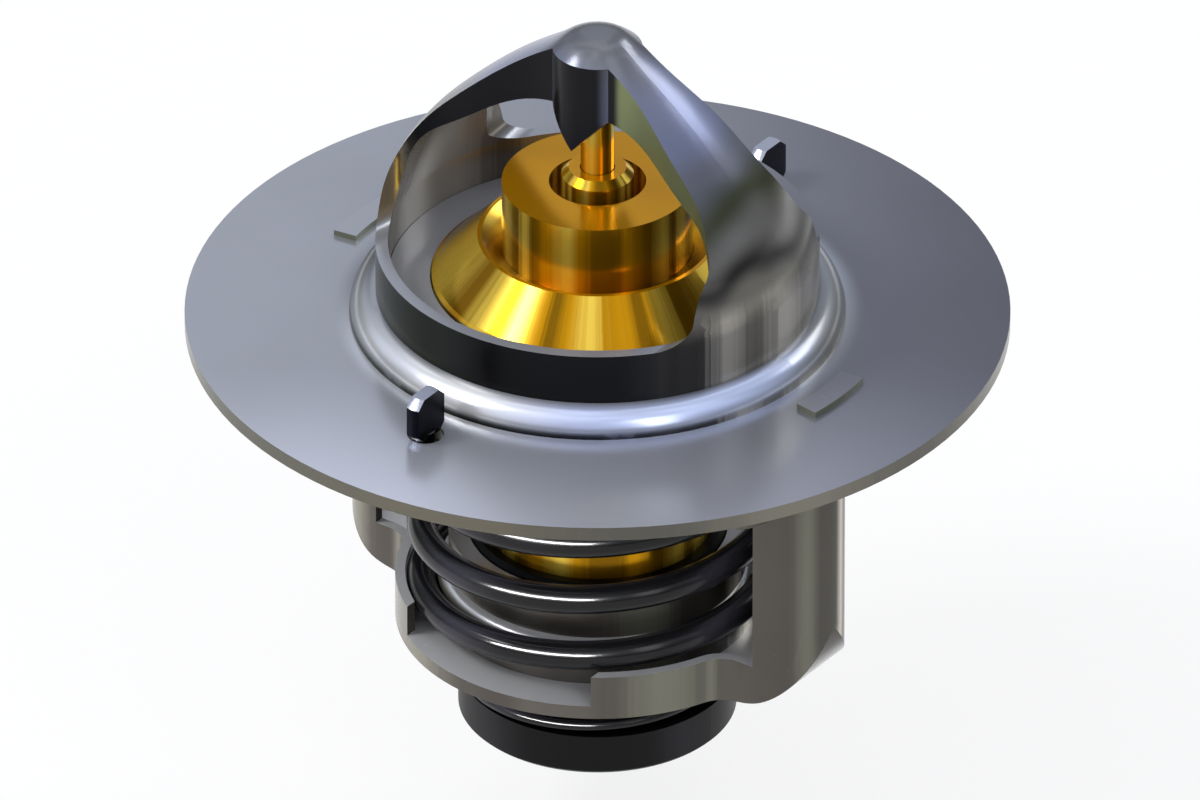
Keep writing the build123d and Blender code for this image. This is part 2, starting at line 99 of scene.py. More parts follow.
# How finely both springs are wound, the share of the wire within which their turns are welded, and
# the angle under which their faces are shaded smooth
STEPS_A_TURN = 120
FEWEST_STEPS = 8
WELD_SHARE = 0.01
SMOOTH_UNDER = math.radians(40)

# Floor: room between it and the open valve, its width in metres, and the share of it that is plain
# white where it is seen
FLOOR_GAP = 1.0 * MM
FLOOR_SIZE = 6.0
FLOOR_OWN_LIGHT = 0.8

# Lamps, each with its place, its width and height in metres and its power in watts
LAMPS = (
    ("key", (-0.35, -0.35, 0.55), (0.22, 0.22), 2.2),
    ("fill", (0.5, -0.25, 0.35), (0.15, 0.4), 0.6),
    ("rim", (0.15, 0.6, 0.45), (0.4, 0.15), 0.8),
)
STRIP = ("strip", (-0.02, -0.67, 0.36), (0.80, 0.10), 46.0)

# Surroundings: each row is a height of the direction, from 0 at level to 1 straight up, and the
# red, green and blue there
SURROUNDINGS = (
    (0.02, 0.85, 0.85, 0.85),
    (0.07, 0.10, 0.10, 0.07),
    (0.22, 0.14, 0.14, 0.11),
    (0.36, 0.42, 0.44, 0.51),
    (0.62, 0.52, 0.55, 0.63),
    (1.0, 0.95, 0.97, 1.0),
)

# The part's front, which is the side that the photo shows, and its right, as level directions, and
# the turn that brings the front to the middle of the turn that keys the painted reflections and
# sheen
FRONT = Vector((math.sin(AZIMUTH), -math.cos(AZIMUTH), 0.0))
RIGHT = Vector((math.cos(AZIMUTH), math.sin(AZIMUTH), 0.0))
FRONT_TURN = math.pi / 2 - AZIMUTH

# Where one painted light, shade or reflection gives way to the next, by the distance from the axis
RIM_FROM = (27.0 * MM, 27.2 * MM)
CUTS_UP_TO = (13.8 * MM, 14.6 * MM)
BEND_FROM = (15.0 * MM, 15.6 * MM)
BEND_UP_TO = (16.3 * MM, 18.2 * MM)
HEADS_FROM = (15.5 * MM, 16.0 * MM)

# The same, by height
DOME_FROM = (5.6 * MM, 8.0 * MM)
CUTS_FROM = (5.6 * MM, 6.0 * MM)
BEND_ABOVE = (-0.2 * MM, -0.1 * MM)
HEADS_ABOVE = (-0.2 * MM, 0.0)
FRAME_FLOOR_BELOW = (-6.0 * MM, -3.0 * MM)

# The same, by the distance to the part's right, to its front and along X
PAINTED_LIGHT_TO_DARK = (-22.0 * MM, 34.0 * MM)
PAINTED_LIT_FRONT = (6.0 * MM, 28.0 * MM)
RIGHT_CUTS = (2.7 * MM, 3.4 * MM)

# Insides face the axis: a point's place, measured along its surface's direction, is negative
INSIDE_BELOW = (-2.0 * MM, -0.5 * MM)

# Painted reflections on the walls, by the way they face: each row is a share of the turn, from the
# back through the front, and the red, green and blue there
BRIDGE_WALL_REFLECTIONS = (
    (0.0, 0.15, 0.145, 0.13),
    (0.12, 0.04, 0.04, 0.035),
    (0.24, 0.17, 0.17, 0.14),
    (0.33, 0.035, 0.037, 0.026),
    (0.42, 0.014, 0.014, 0.014),
    (0.53, 0.016, 0.016, 0.017),
    (0.575, 0.05, 0.048, 0.045),
    (0.60, 0.50, 0.47, 0.41),
    (0.625, 0.22, 0.205, 0.175),
    (0.655, 0.62, 0.59, 0.51),
    (0.69, 0.28, 0.265, 0.23),
    (0.73, 0.42, 0.40, 0.35),
    (0.78, 0.12, 0.114, 0.10),
    (0.88, 0.19, 0.18, 0.16),
    (1.0, 0.15, 0.145, 0.13),
)
INNER_WALL_REFLECTIONS = (
    (0.0, 0.26, 0.24, 0.20),
    (0.15, 0.10, 0.095, 0.08),
    (0.30, 0.32, 0.30, 0.25),
    (0.36, 0.09, 0.085, 0.07),
    (0.42, 0.40, 0.37, 0.31),
    (0.455, 0.20, 0.185, 0.155),
    (0.50, 0.48, 0.45, 0.38),
    (0.545, 0.30, 0.28, 0.235),
    (0.575, 0.10, 0.093, 0.08),
    (0.62, 0.40, 0.37, 0.31),
    (0.75, 0.13, 0.12, 0.10),
    (0.88, 0.32, 0.30, 0.25),
    (1.0, 0.26, 0.24, 0.20),
)
RIM_REFLECTIONS = (
    (0.0, 0.16, 0.155, 0.14),
    (0.15, 0.08, 0.077, 0.068),
    (0.25, 0.17, 0.165, 0.14),
    (0.36, 0.15, 0.145, 0.12),
    (0.44, 0.17, 0.155, 0.12),
    (0.52, 0.11, 0.105, 0.09),
    (0.58, 0.20, 0.19, 0.155),
    (0.64, 0.12, 0.115, 0.10),
    (0.72, 0.19, 0.18, 0.155),
    (0.85, 0.10, 0.095, 0.085),
    (1.0, 0.16, 0.155, 0.14),
)
FRAME_WALL_REFLECTIONS = (
    (0.0, 0.16, 0.15, 0.13),
    (0.10, 0.08, 0.075, 0.065),
    (0.22, 0.19, 0.18, 0.155),
    (0.32, 0.15, 0.14, 0.115),
    (0.40, 0.060, 0.053, 0.047),
    (0.50, 0.058, 0.051, 0.044),
    (0.56, 0.115, 0.115, 0.088),
    (0.60, 0.040, 0.036, 0.032),
    (0.66, 0.034, 0.030, 0.026),
    (0.69, 0.52, 0.48, 0.40),
    (0.715, 0.06, 0.055, 0.048),
    (0.745, 0.22, 0.20, 0.17),
    (0.78, 0.07, 0.065, 0.056),
    (0.9, 0.17, 0.16, 0.14),
    (1.0, 0.16, 0.15, 0.13),
)

# Painted highlight and reflection of the bend, by the place round the axis, in the same shares
BEND_HIGHLIGHT_BANDS = (
    (0.0, 0.35, 0.37, 0.45),
    (0.2, 0.22, 0.23, 0.25),
    (0.33, 0.75, 0.77, 0.82),
    (0.40, 1.0, 1.0, 1.0),
    (0.50, 0.62, 0.69, 0.95),
    (0.60, 0.64, 0.73, 1.0),
    (0.70, 0.34, 0.35, 0.36),
    (0.85, 0.50, 0.53, 0.62),
    (1.0, 0.35, 0.37, 0.45),
)

# Painted reflection of the dome, by height, as shares of its own height
DOME_TOP = 21.9 * MM
DOME_REFLECTION_BANDS = (
    (0.25, 0.24, 0.23, 0.20),
    (0.36, 0.13, 0.127, 0.115),
    (0.42, 0.035, 0.035, 0.035),
    (0.485, 0.24, 0.24, 0.23),
    (0.57, 0.07, 0.075, 0.048),
    (0.66, 0.16, 0.17, 0.21),
    (0.78, 0.20, 0.225, 0.34),
    (0.90, 0.21, 0.23, 0.33),
    (0.97, 0.20, 0.21, 0.245),
    (1.0, 0.19, 0.195, 0.215),
)

# Painted reflection streaks on the turned brass: pairs of a share of the turn and the number of the
# tone there
BRASS_REFLECTION_TONES = ((0.24, 0.115, 0.0008), (0.64, 0.30, 0.002), (1.0, 0.70, 0.09))
MIDDLE_TONE = BRASS_REFLECTION_TONES[1]
BOSS_REFLECTION_STREAKS = (
    (0.0, 1), (0.10, 0), (0.20, 2), (0.28, 1), (0.305, 2), (0.342, 0), (0.362, 2), (0.383, 0),
    (0.41, 1), (0.4505, 2), (0.47, 1), (0.495, 0), (0.53, 0), (0.55, 1), (0.59, 0), (0.624, 2),
    (0.645, 0), (0.667, 2), (0.70, 0), (0.80, 2), (0.90, 0), (1.0, 1),
)
CONE_REFLECTION_STREAKS = (
    (0.0, 1), (0.15, 0), (0.28, 2), (0.333, 0), (0.372, 2), (0.392, 1), (0.416, 2), (0.435, 1),
    (0.449, 0), (0.469, 1), (0.4925, 2), (0.512, 1), (0.531, 1), (0.552, 0), (0.563, 1),
    (0.578, 2), (0.60, 0), (0.68, 2), (0.78, 0), (0.88, 2), (1.0, 1),
)
PISTON_REFLECTION_STREAKS = (
    (0.0, 1), (0.2, 0), (0.34, 1), (0.44, 2), (0.52, 1), (0.60, 0), (0.68, 2), (0.8, 1), (1.0, 1),
)

# Painted sheen of the black finishes: pairs of a share of the turn and 1 where it is lighter, and
# how many times lighter the red, green and blue are there
BLACK_SHEEN = (
    (0.0, 1), (0.15, 0), (0.3, 0), (0.36, 1), (0.42, 0), (0.56, 0), (0.6, 1), (0.65, 0), (0.8, 0),
    (0.9, 1), (1.0, 1),
)
SHEEN_GAIN = (5.0, 5.0, 5.4)


def rgb(red, green, blue):
    return (red, green, blue, 1.0)


WHITE = rgb(1.0, 1.0, 1.0)
WORN = rgb(0.5, 0.5, 0.5)

# Level faces of the steel, with painted light at the left and painted shade at the right, and how
# much brighter painted light makes them towards the front
PAINTED_LIT_LEVEL = rgb(0.40, 0.415, 0.455)
PAINTED_SHADED_LEVEL = rgb(0.12, 0.122, 0.145)
PAINTED_FRONT_LIGHT_GAIN = rgb(1.7, 1.7, 1.72)
SEAT_LEVEL = rgb(0.42, 0.44, 0.49)

# Cut edges of the windows with painted shade and painted reflection, walls of the lower frame with
# painted light on their left, walls of the legs' heads, pins with painted reflection on their level
# faces, dull brass
LEFT_CUT_SHADE = rgb(0.012, 0.012, 0.014)
RIGHT_CUT_REFLECTION = rgb(0.20, 0.225, 0.11)
DRAWN_LIGHT = rgb(0.30, 0.28, 0.24)
LIT_SIDE_GAIN = rgb(2.0, 2.0, 2.0)
HEAD_WALL = rgb(0.24, 0.25, 0.18)
PIN_WALLS = (rgb(0.006, 0.006, 0.01), rgb(0.02, 0.02, 0.032))
PIN_LEVEL_REFLECTION = rgb(0.42, 0.44, 0.52)
DULL_BRASS = rgb(0.35, 0.17, 0.01)


class Graph:
    """Short way to lay out the nodes of a material, a world or a node group."""

    def __init__(self, tree):
        self.tree = tree

    def add(self, kind, **settings):
        node = self.tree.nodes.new(kind)
        for key, value in settings.items():
            setattr(node, key, value)
        return node

    def link(self, source, target):
        self.tree.links.new(source, target)

    def feed(self, socket, value):
        """Links an output to the socket, or sets the socket's own value."""
        if isinstance(value, bpy.types.NodeSocket):
            self.link(value, socket)
        else:
            socket.default_value = value

    def math(self, operation, first, second=0.0):
        node = self.add("ShaderNodeMath", operation=operation)
        self.feed(node.inputs[0], first)
        self.feed(node.inputs[1], second)
        return node.outputs[0]

    def product(self, *factors):
        result = factors[0]
        for factor in factors[1:]:
            result = self.math("MULTIPLY", result, factor)
        return result

    def vector_math(self, operation, first, second=(0.0, 0.0, 0.0)):
        node = self.add("ShaderNodeVectorMath", operation=operation)
        self.feed(node.inputs[0], first)
        self.feed(node.inputs[1], second)
        return node.outputs["Value" if operation in ("DOT_PRODUCT", "LENGTH") else "Vector"]

    def smooth(self, value, low, high, to_low=0.0, to_high=1.0):
        """Goes softly from one number to the other while the value goes from low to high."""
        node = self.add("ShaderNodeMapRange", interpolation_type="SMOOTHSTEP")
        node.inputs["From Min"].default_value = low
        node.inputs["From Max"].default_value = high
        node.inputs["To Min"].default_value = to_low
        node.inputs["To Max"].default_value = to_high
        self.feed(node.inputs["Value"], value)
        return node.outputs["Result"]

    def fade(self, value, low, high):
        """1 up to low and 0 from high on."""
        return self.smooth(value, low, high, 1.0, 0.0)

    def mix(self, factor, first, second, blend_type="MIX"):
        node = self.add("ShaderNodeMix", data_type="RGBA", blend_type=blend_type)
        self.feed(node.inputs[0], factor)
        self.feed(node.inputs[6], first)
        self.feed(node.inputs[7], second)
        return node.outputs[2]

    def noise(self, vector, scale, detail=2.0, roughness=0.5):
        node = self.add("ShaderNodeTexNoise")
        self.feed(node.inputs["Vector"], vector)
        self.feed(node.inputs["Scale"], scale)
        node.inputs["Detail"].default_value = detail
        node.inputs["Roughness"].default_value = roughness
        return node.outputs[0]

    def mapping(self, vector, scale, location=(0, 0, 0)):
        node = self.add("ShaderNodeMapping")
        self.feed(node.inputs["Vector"], vector)
        node.inputs["Scale"].default_value = scale
        node.inputs["Location"].default_value = location
        return node.outputs[0]

    def place(self):
        """Where a point lies on the part."""
        return self.add("ShaderNodeTexCoord").outputs["Object"]

    def direction(self):
        """Which way the surface faces."""
        return self.add("ShaderNodeNewGeometry").outputs["Normal"]

    def parts(self, vector):
        node = self.add("ShaderNodeSeparateXYZ")
        self.feed(node.inputs[0], vector)
        return node.outputs

    def bump(self, height, distance, strength):
        node = self.add("ShaderNodeBump")
        node.inputs["Distance"].default_value = distance
        node.inputs["Strength"].default_value = strength
        self.feed(node.inputs["Height"], height)
        return node.outputs["Normal"]


def round_axis(graph, vector, angle):
    """The vector, turned about the axis by the angle, and the share of the turn where it points."""
    turn = graph.add("ShaderNodeVectorRotate", rotation_type="Z_AXIS")
    graph.link(vector, turn.inputs["Vector"])
    graph.feed(turn.inputs["Angle"], angle)
    radial = graph.add("ShaderNodeTexGradient", gradient_type="RADIAL")
    graph.link(turn.outputs[0], radial.inputs["Vector"])
    return turn.outputs[0], radial.outputs["Fac"]


def new_group(name, inputs, outputs):
    """A node group with named sockets; returns its graph, its input node and its output node."""
    tree = bpy.data.node_groups.new(name, "ShaderNodeTree")
    for socket_name, kind, value in inputs:
        socket = tree.interface.new_socket(socket_name, in_out="INPUT", socket_type=kind)
        socket.default_value = value
    for socket_name, kind in outputs:
        tree.interface.new_socket(socket_name, in_out="OUTPUT", socket_type=kind)
    graph = Graph(tree)
    return graph, graph.add("NodeGroupInput"), graph.add("NodeGroupOutput")


def make_draw_marks():
    """Upright marks left on drawn walls: broad soft bands and fine lines, each 0 to 1."""
    graph, given, out = new_group(
        "draw_marks",
        [("Fineness", "NodeSocketFloat", 200.0)],
        [("Band", "NodeSocketFloat"), ("Line", "NodeSocketFloat")],
    )
    upright = graph.mapping(graph.place(), scale=(1.0, 1.0, 0.03))
    broad = graph.noise(upright, scale=given.outputs["Fineness"], detail=1.0)
    fine = graph.noise(upright, scale=3000.0, detail=3.0, roughness=0.6)
    graph.link(graph.smooth(broad, 0.34, 0.66), out.inputs["Band"])
    graph.link(fine, out.inputs["Line"])
    return graph.tree


def make_facing_share_and_lines():
    """The share of the turn where a wall faces round the axis, a little uneven, which keys the
    painted reflections, highlights and sheen, and fine turning lines across it, each 0 to 1.
    """
    graph, given, out = new_group(
        "facing_share_and_lines",
        [("Turn", "NodeSocketFloat", 0.0)],
        [("Share", "NodeSocketFloat"), ("Line", "NodeSocketFloat")],
    )
    normal = graph.add("ShaderNodeTexCoord").outputs["Normal"]
    turned, share = round_axis(graph, normal, given.outputs["Turn"])
    level = graph.vector_math("MULTIPLY", turned, (1.0, 1.0, 0.0))
    ring = graph.vector_math("NORMALIZE", level)
    uneven = graph.math("SUBTRACT", graph.noise(ring, scale=30.0, detail=4.0, roughness=0.6), 0.5)
    wander = graph.math("MULTIPLY", uneven, 0.035)
    graph.link(graph.math("ADD", share, wander), out.inputs["Share"])
    fine = graph.noise(ring, scale=120.0, detail=3.0, roughness=0.6)
    graph.link(fine, out.inputs["Line"])
    return graph.tree


def make_wear():
    """Fine handling marks: soft cloudy patches and small scratches, each 0 to 1."""
    graph, given, out = new_group(
        "handling_wear",
        [("Fineness", "NodeSocketFloat", 1.0)],
        [("Cloud", "NodeSocketFloat"), ("Scratch", "NodeSocketFloat")],
    )
    scaled = graph.add("ShaderNodeVectorMath", operation="SCALE")
    graph.link(graph.place(), scaled.inputs[0])
    graph.link(given.outputs["Fineness"], scaled.inputs["Scale"])
    cloud = graph.noise(scaled.outputs[0], scale=90.0, detail=1.5)
    drawn_out = graph.mapping(scaled.outputs[0], scale=(1.0, 7.0, 2.0))
    scratch = graph.noise(drawn_out, scale=900.0, detail=2.0, roughness=0.7)
    graph.link(graph.smooth(cloud, 0.25, 0.75), out.inputs["Cloud"])
    graph.link(graph.smooth(scratch, 0.70, 0.82), out.inputs["Scratch"])
    return graph.tree


draw_marks = make_draw_marks()
facing_share_and_lines = make_facing_share_and_lines()
handling_wear = make_wear()


def use_group(graph, tree, **values):
    node = graph.add("ShaderNodeGroup", node_tree=tree)
    for name, value in values.items():
        graph.feed(node.inputs[name], value)
    return node.outputs


def new_material(name):
    """A material with a Principled shader; returns the material, its graph and the shader."""
    material = bpy.data.materials.new(name)
    material.use_nodes = True
    graph = Graph(material.node_tree)
    shader = material.node_tree.nodes["Principled BSDF"]
    return material, graph, shader


def levelness(graph):
    """0 on upright faces and 1 on level ones."""
    return graph.math("ABSOLUTE", graph.parts(graph.direction())[2])


def flat_place(graph):
    """Where a point lies on the part, seen from above."""
    return graph.vector_math("MULTIPLY", graph.place(), (1.0, 1.0, 0.0))


def banded(graph, share, rows, interpolation="EASE"):
    """Colours along a share from 0 to 1: each row is a share and the red, green and blue there."""
    ramp = graph.add("ShaderNodeValToRGB")
    graph.link(share, ramp.inputs["Fac"])
    ramp.color_ramp.interpolation = interpolation
    elements = ramp.color_ramp.elements
    for element, (position, *colour) in ((elements[0], rows[0]), (elements[1], rows[-1])):
        element.position = position
        element.color = rgb(*colour)
    for position, *colour in rows[1:-1]:
        elements.new(position).color = rgb(*colour)
    return ramp.outputs["Color"]


def worn(graph, base, wear):
    """The colour, a little darker in the cloudy patches."""
    return graph.mix(graph.math("MULTIPLY", wear["Cloud"], 0.1), base, WORN, "MULTIPLY")


def finish_metal(graph, shader, base, wear, line, metallic, roughness):
    """Feeds a metal's colour, its worn roughness and its fine lines to the shader."""
    graph.link(base, shader.inputs["Base Color"])
    shader.inputs["Metallic"].default_value = metallic
    shader.inputs["Specular IOR Level"].default_value = 0.15
    rough = graph.math("ADD", roughness, graph.math("MULTIPLY", wear["Cloud"], 0.05))
    rough = graph.math("ADD", rough, graph.math("MULTIPLY", wear["Scratch"], 0.03))
    graph.link(rough, shader.inputs["Roughness"])
    graph.link(graph.bump(line, distance=0.002 * MM, strength=0.25), shader.inputs["Normal"])


def to_the_right(graph):
    """0 at the left of the flange and 1 at its right, for the painted light across it."""
    return graph.smooth(graph.vector_math("DOT_PRODUCT", graph.place(), RIGHT), *PAINTED_LIGHT_TO_DARK)


def level_with_painted_light(graph):
    """Cool colour of the level faces with painted light: light at the left, dark at the right,
    brighter in front.
    """
    level = graph.mix(to_the_right(graph), PAINTED_LIT_LEVEL, PAINTED_SHADED_LEVEL)
    ahead = graph.vector_math("DOT_PRODUCT", graph.place(), FRONT)
    return graph.mix(graph.smooth(ahead, *PAINTED_LIT_FRONT), level, PAINTED_FRONT_LIGHT_GAIN, "MULTIPLY")


def make_bridge_steel():
    """Bright pressed steel of the flange and the bridge: level faces with painted light, walls and
    polished dome with painted reflections.
    """
    material, graph, shader = new_material("bridge_steel")
    along_x, _, height = graph.parts(graph.place())
    flat = flat_place(graph)
    from_axis = graph.vector_math("LENGTH", flat)
    marks = use_group(graph, facing_share_and_lines, Turn=FRONT_TURN)
    wear = use_group(graph, handling_wear, Fineness=1.0)

    # Insides of the collar and of the dome, with painted reflection bands of their own
    outwards = graph.vector_math("DOT_PRODUCT", graph.direction(), flat)
    outside = graph.smooth(outwards, *INSIDE_BELOW)
    inner = banded(graph, marks["Share"], INNER_WALL_REFLECTIONS)

    # Walls of the collar and of the rim with painted reflection bands, against the level faces with
    # their painted light
    rim = banded(graph, marks["Share"], RIM_REFLECTIONS)
    wall = banded(graph, marks["Share"], BRIDGE_WALL_REFLECTIONS)
    wall = graph.mix(graph.smooth(from_axis, *RIM_FROM), wall, rim)
    wall = graph.mix(outside, inner, wall)
    base = graph.mix(graph.fade(levelness(graph), 0.12, 0.75), level_with_painted_light(graph), wall)

    # Dome: painted reflection in soft bands of light and dark down its polished outside
    uneven = graph.math("SUBTRACT", graph.noise(graph.place(), scale=130.0, detail=1.0), 0.5)
    swayed = graph.math("ADD", height, graph.math("MULTIPLY", uneven, 5.0 * MM))
    dome = banded(graph, graph.math("MULTIPLY", swayed, 1 / DOME_TOP), DOME_REFLECTION_BANDS)
    dome = graph.mix(outside, inner, dome)
    base = graph.mix(graph.smooth(height, *DOME_FROM), base, dome)

    # Cut edges of the windows, which face along Y: painted shade on the left ones, a painted olive
    # reflection on the right ones
    across = graph.math("ABSOLUTE", graph.parts(graph.direction())[1])
    cut = graph.product(
        graph.smooth(across, 0.55, 0.85),
        graph.smooth(height, *CUTS_FROM),
        graph.fade(from_axis, *CUTS_UP_TO),
    )
    cut_shade_and_reflection = graph.mix(graph.smooth(along_x, *RIGHT_CUTS), LEFT_CUT_SHADE, RIGHT_CUT_REFLECTION)
    base = graph.mix(cut, base, cut_shade_and_reflection)

    # Bend from the flange to the collar, with a painted highlight and reflection round it
    bend_highlight = graph.product(
        graph.smooth(from_axis, *BEND_FROM),
        graph.fade(from_axis, *BEND_UP_TO),
        graph.smooth(height, *BEND_ABOVE),
        graph.smooth(levelness(graph), 0.08, 0.45),
    )
    _, share = round_axis(graph, graph.place(), FRONT_TURN)
    base = graph.mix(bend_highlight, base, banded(graph, share, BEND_HIGHLIGHT_BANDS))
    base = worn(graph, base, wear)
    finish_metal(graph, shader, base, wear, marks["Line"], metallic=0.6, roughness=0.2)
    return material


def make_frame_steel():
    """Steel of the lower frame, drawn as deep channels: warm walls with painted reflection bands,
    painted light on the left and upright marks.
    """
    material, graph, shader = new_material("frame_steel")
    height = graph.parts(graph.place())[2]
    from_axis = graph.vector_math("LENGTH", flat_place(graph))
    marks = use_group(graph, facing_share_and_lines, Turn=FRONT_TURN)
    drawn = use_group(graph, draw_marks, Fineness=190.0)
    wear = use_group(graph, handling_wear, Fineness=1.0)

    # Level faces: the seat, the floor of the frame painted white as painted light under the
    # flange's shade, and the heads of the legs on the flange with painted light
    heads = graph.product(
        graph.smooth(height, *HEADS_ABOVE), graph.smooth(from_axis, *HEADS_FROM)
    )
    level = graph.mix(graph.fade(height, *FRAME_FLOOR_BELOW), SEAT_LEVEL, WHITE)
    level = graph.mix(heads, level, level_with_painted_light(graph))

    # Walls: painted reflection bands by the way they face, drawn bands, and painted light that
    # makes them brighter on the left
    wall = banded(graph, marks["Share"], FRAME_WALL_REFLECTIONS)
    wall = graph.mix(graph.math("MULTIPLY", drawn["Band"], 0.12), wall, DRAWN_LIGHT)
    to_the_left = graph.math("SUBTRACT", 1.0, to_the_right(graph))
    wall = graph.mix(to_the_left, wall, LIT_SIDE_GAIN, "MULTIPLY")
    wall = graph.mix(heads, wall, HEAD_WALL)
    base = graph.mix(graph.fade(levelness(graph), 0.25, 0.85), level, wall)
    base = worn(graph, base, wear)
    finish_metal(graph, shader, base, wear, drawn["Line"], metallic=0.5, roughness=0.22)
    return material


def make_dark_steel():
    """Dark steel of the air-bleed pins, with a painted reflection that makes their level and
    sloping faces brighter.
    """
    material, graph, shader = new_material("dark_steel")
    marks = use_group(graph, draw_marks, Fineness=600.0)
    wear = use_group(graph, handling_wear, Fineness=2.0)
    wall = graph.mix(marks["Band"], *PIN_WALLS)
    # Painted reflection: level and sloping faces lighter than the walls
    base = graph.mix(graph.fade(levelness(graph), 0.3, 0.65), PIN_LEVEL_REFLECTION, wall)
    finish_metal(graph, shader, base, wear, marks["Line"], metallic=0.85, roughness=0.22)
    return material


def make_brass(name, roughness, reflection_streaks):
    """Turned brass, with painted reflection streaks round the axis."""
    material, graph, shader = new_material(name)
    marks = use_group(graph, facing_share_and_lines, Turn=FRONT_TURN)
    wear = use_group(graph, handling_wear, Fineness=1.4)
    # Painted reflection streaks by the way the walls face; level faces keep the middle tone
    rows = [(share, *BRASS_REFLECTION_TONES[tone]) for share, tone in reflection_streaks]
    reflected = banded(graph, marks["Share"], rows)
    base = graph.mix(graph.fade(levelness(graph), 0.78, 0.97), rgb(*MIDDLE_TONE), reflected)
    base = graph.mix(graph.math("MULTIPLY", wear["Cloud"], 0.12), base, DULL_BRASS)
    finish_metal(graph, shader, base, wear, marks["Line"], metallic=0.72, roughness=roughness)
    return material


def make_black(name, colour, roughness, reflection, grain):
    """Black coating over steel, with a painted sheen round the axis and a fine orange peel."""
    material, graph, shader = new_material(name)
    wear = use_group(graph, handling_wear, Fineness=1.2)
    marks = use_group(graph, facing_share_and_lines, Turn=FRONT_TURN)
    # Painted sheen: a lighter black where the surface faces certain ways round the axis
    lighter = tuple(part * gain for part, gain in zip(colour, SHEEN_GAIN))
    rows = [(share, *(lighter if light else colour)) for share, light in BLACK_SHEEN]
    graph.link(banded(graph, marks["Share"], rows), shader.inputs["Base Color"])
    rough = graph.math("ADD", roughness, graph.math("MULTIPLY", wear["Cloud"], 0.08))
    graph.link(rough, shader.inputs["Roughness"])
    shader.inputs["Metallic"].default_value = 0.0
    shader.inputs["Specular IOR Level"].default_value = reflection
    peel = graph.noise(graph.place(), scale=grain, detail=3.0, roughness=0.6)
    graph.link(graph.bump(peel, distance=0.006 * MM, strength=0.3), shader.inputs["Normal"])
    return material


def make_soft(name, colour, roughness, grain):
    """Rubber or wax, hidden inside the element."""
    material, graph, shader = new_material(name)
    wear = use_group(graph, handling_wear, Fineness=1.0)
    paler = rgb(*(min(1.0, 1.4 * part) for part in colour))
    graph.link(graph.mix(wear["Cloud"], rgb(*colour), paler), shader.inputs["Base Color"])
    shader.inputs["Roughness"].default_value = roughness
    grains = graph.noise(graph.place(), scale=grain)
    graph.link(graph.bump(grains, distance=0.04 * MM, strength=0.5), shader.inputs["Normal"])
    return material


bridge_steel = make_bridge_steel()
frame_steel = make_frame_steel()
dark_steel = make_dark_steel()
boss_brass = make_brass("boss_brass", roughness=0.16, reflection_streaks=BOSS_REFLECTION_STREAKS)
cone_brass = make_brass("cone_brass", roughness=0.16, reflection_streaks=CONE_REFLECTION_STREAKS)
gilt_steel = make_brass("gilt_steel", roughness=0.12, reflection_streaks=PISTON_REFLECTION_STREAKS)
gloss_black = make_black(
    "gloss_black", (0.001, 0.001, 0.0012), roughness=0.15, reflection=0.26, grain=2500.0
)
satin_black = make_black(
    "satin_black", (0.003, 0.003, 0.0035), roughness=0.36, reflection=0.15, grain=4000.0
)
rubber = make_soft("rubber", (0.02, 0.02, 0.02), roughness=0.75, grain=3000.0)
wax = make_soft("wax", (0.6, 0.5, 0.3), roughness=0.5, grain=800.0)

finishes = {
    "flange_bridge": bridge_steel,
    "seat_ring": frame_steel,
    "lower_frame": frame_steel,
    "valve_plate": frame_steel,
    "bypass_stem": frame_steel,
    "piston": gilt_steel,
    "valve_cone": cone_brass,
    "element_boss": boss_brass,
    "guide_collar": boss_brass,
    "element_body": boss_brass,
    "valve_seal": rubber,
    "piston_seal": rubber,
    "rubber_sleeve": rubber,
    "wax_charge": wax,
    "element_case": satin_black,
    "bypass_cap": satin_black,
    "spring_ring": gloss_black,
    "stem_clip": gloss_black,
    "main_spring": gloss_black,
    "bypass_spring": gloss_black,
    "air_pin_a": dark_steel,
    "air_pin_b": dark_steel,
    "pin_weight_a": dark_steel,
    "pin_weight_b": dark_steel,
}
for node_name, finish in finishes.items():
    mesh = nodes[node_name].data
    mesh.materials.clear()
    mesh.materials.append(finish)


def deselect():
    bpy.ops.object.select_all(action="DESELECT")


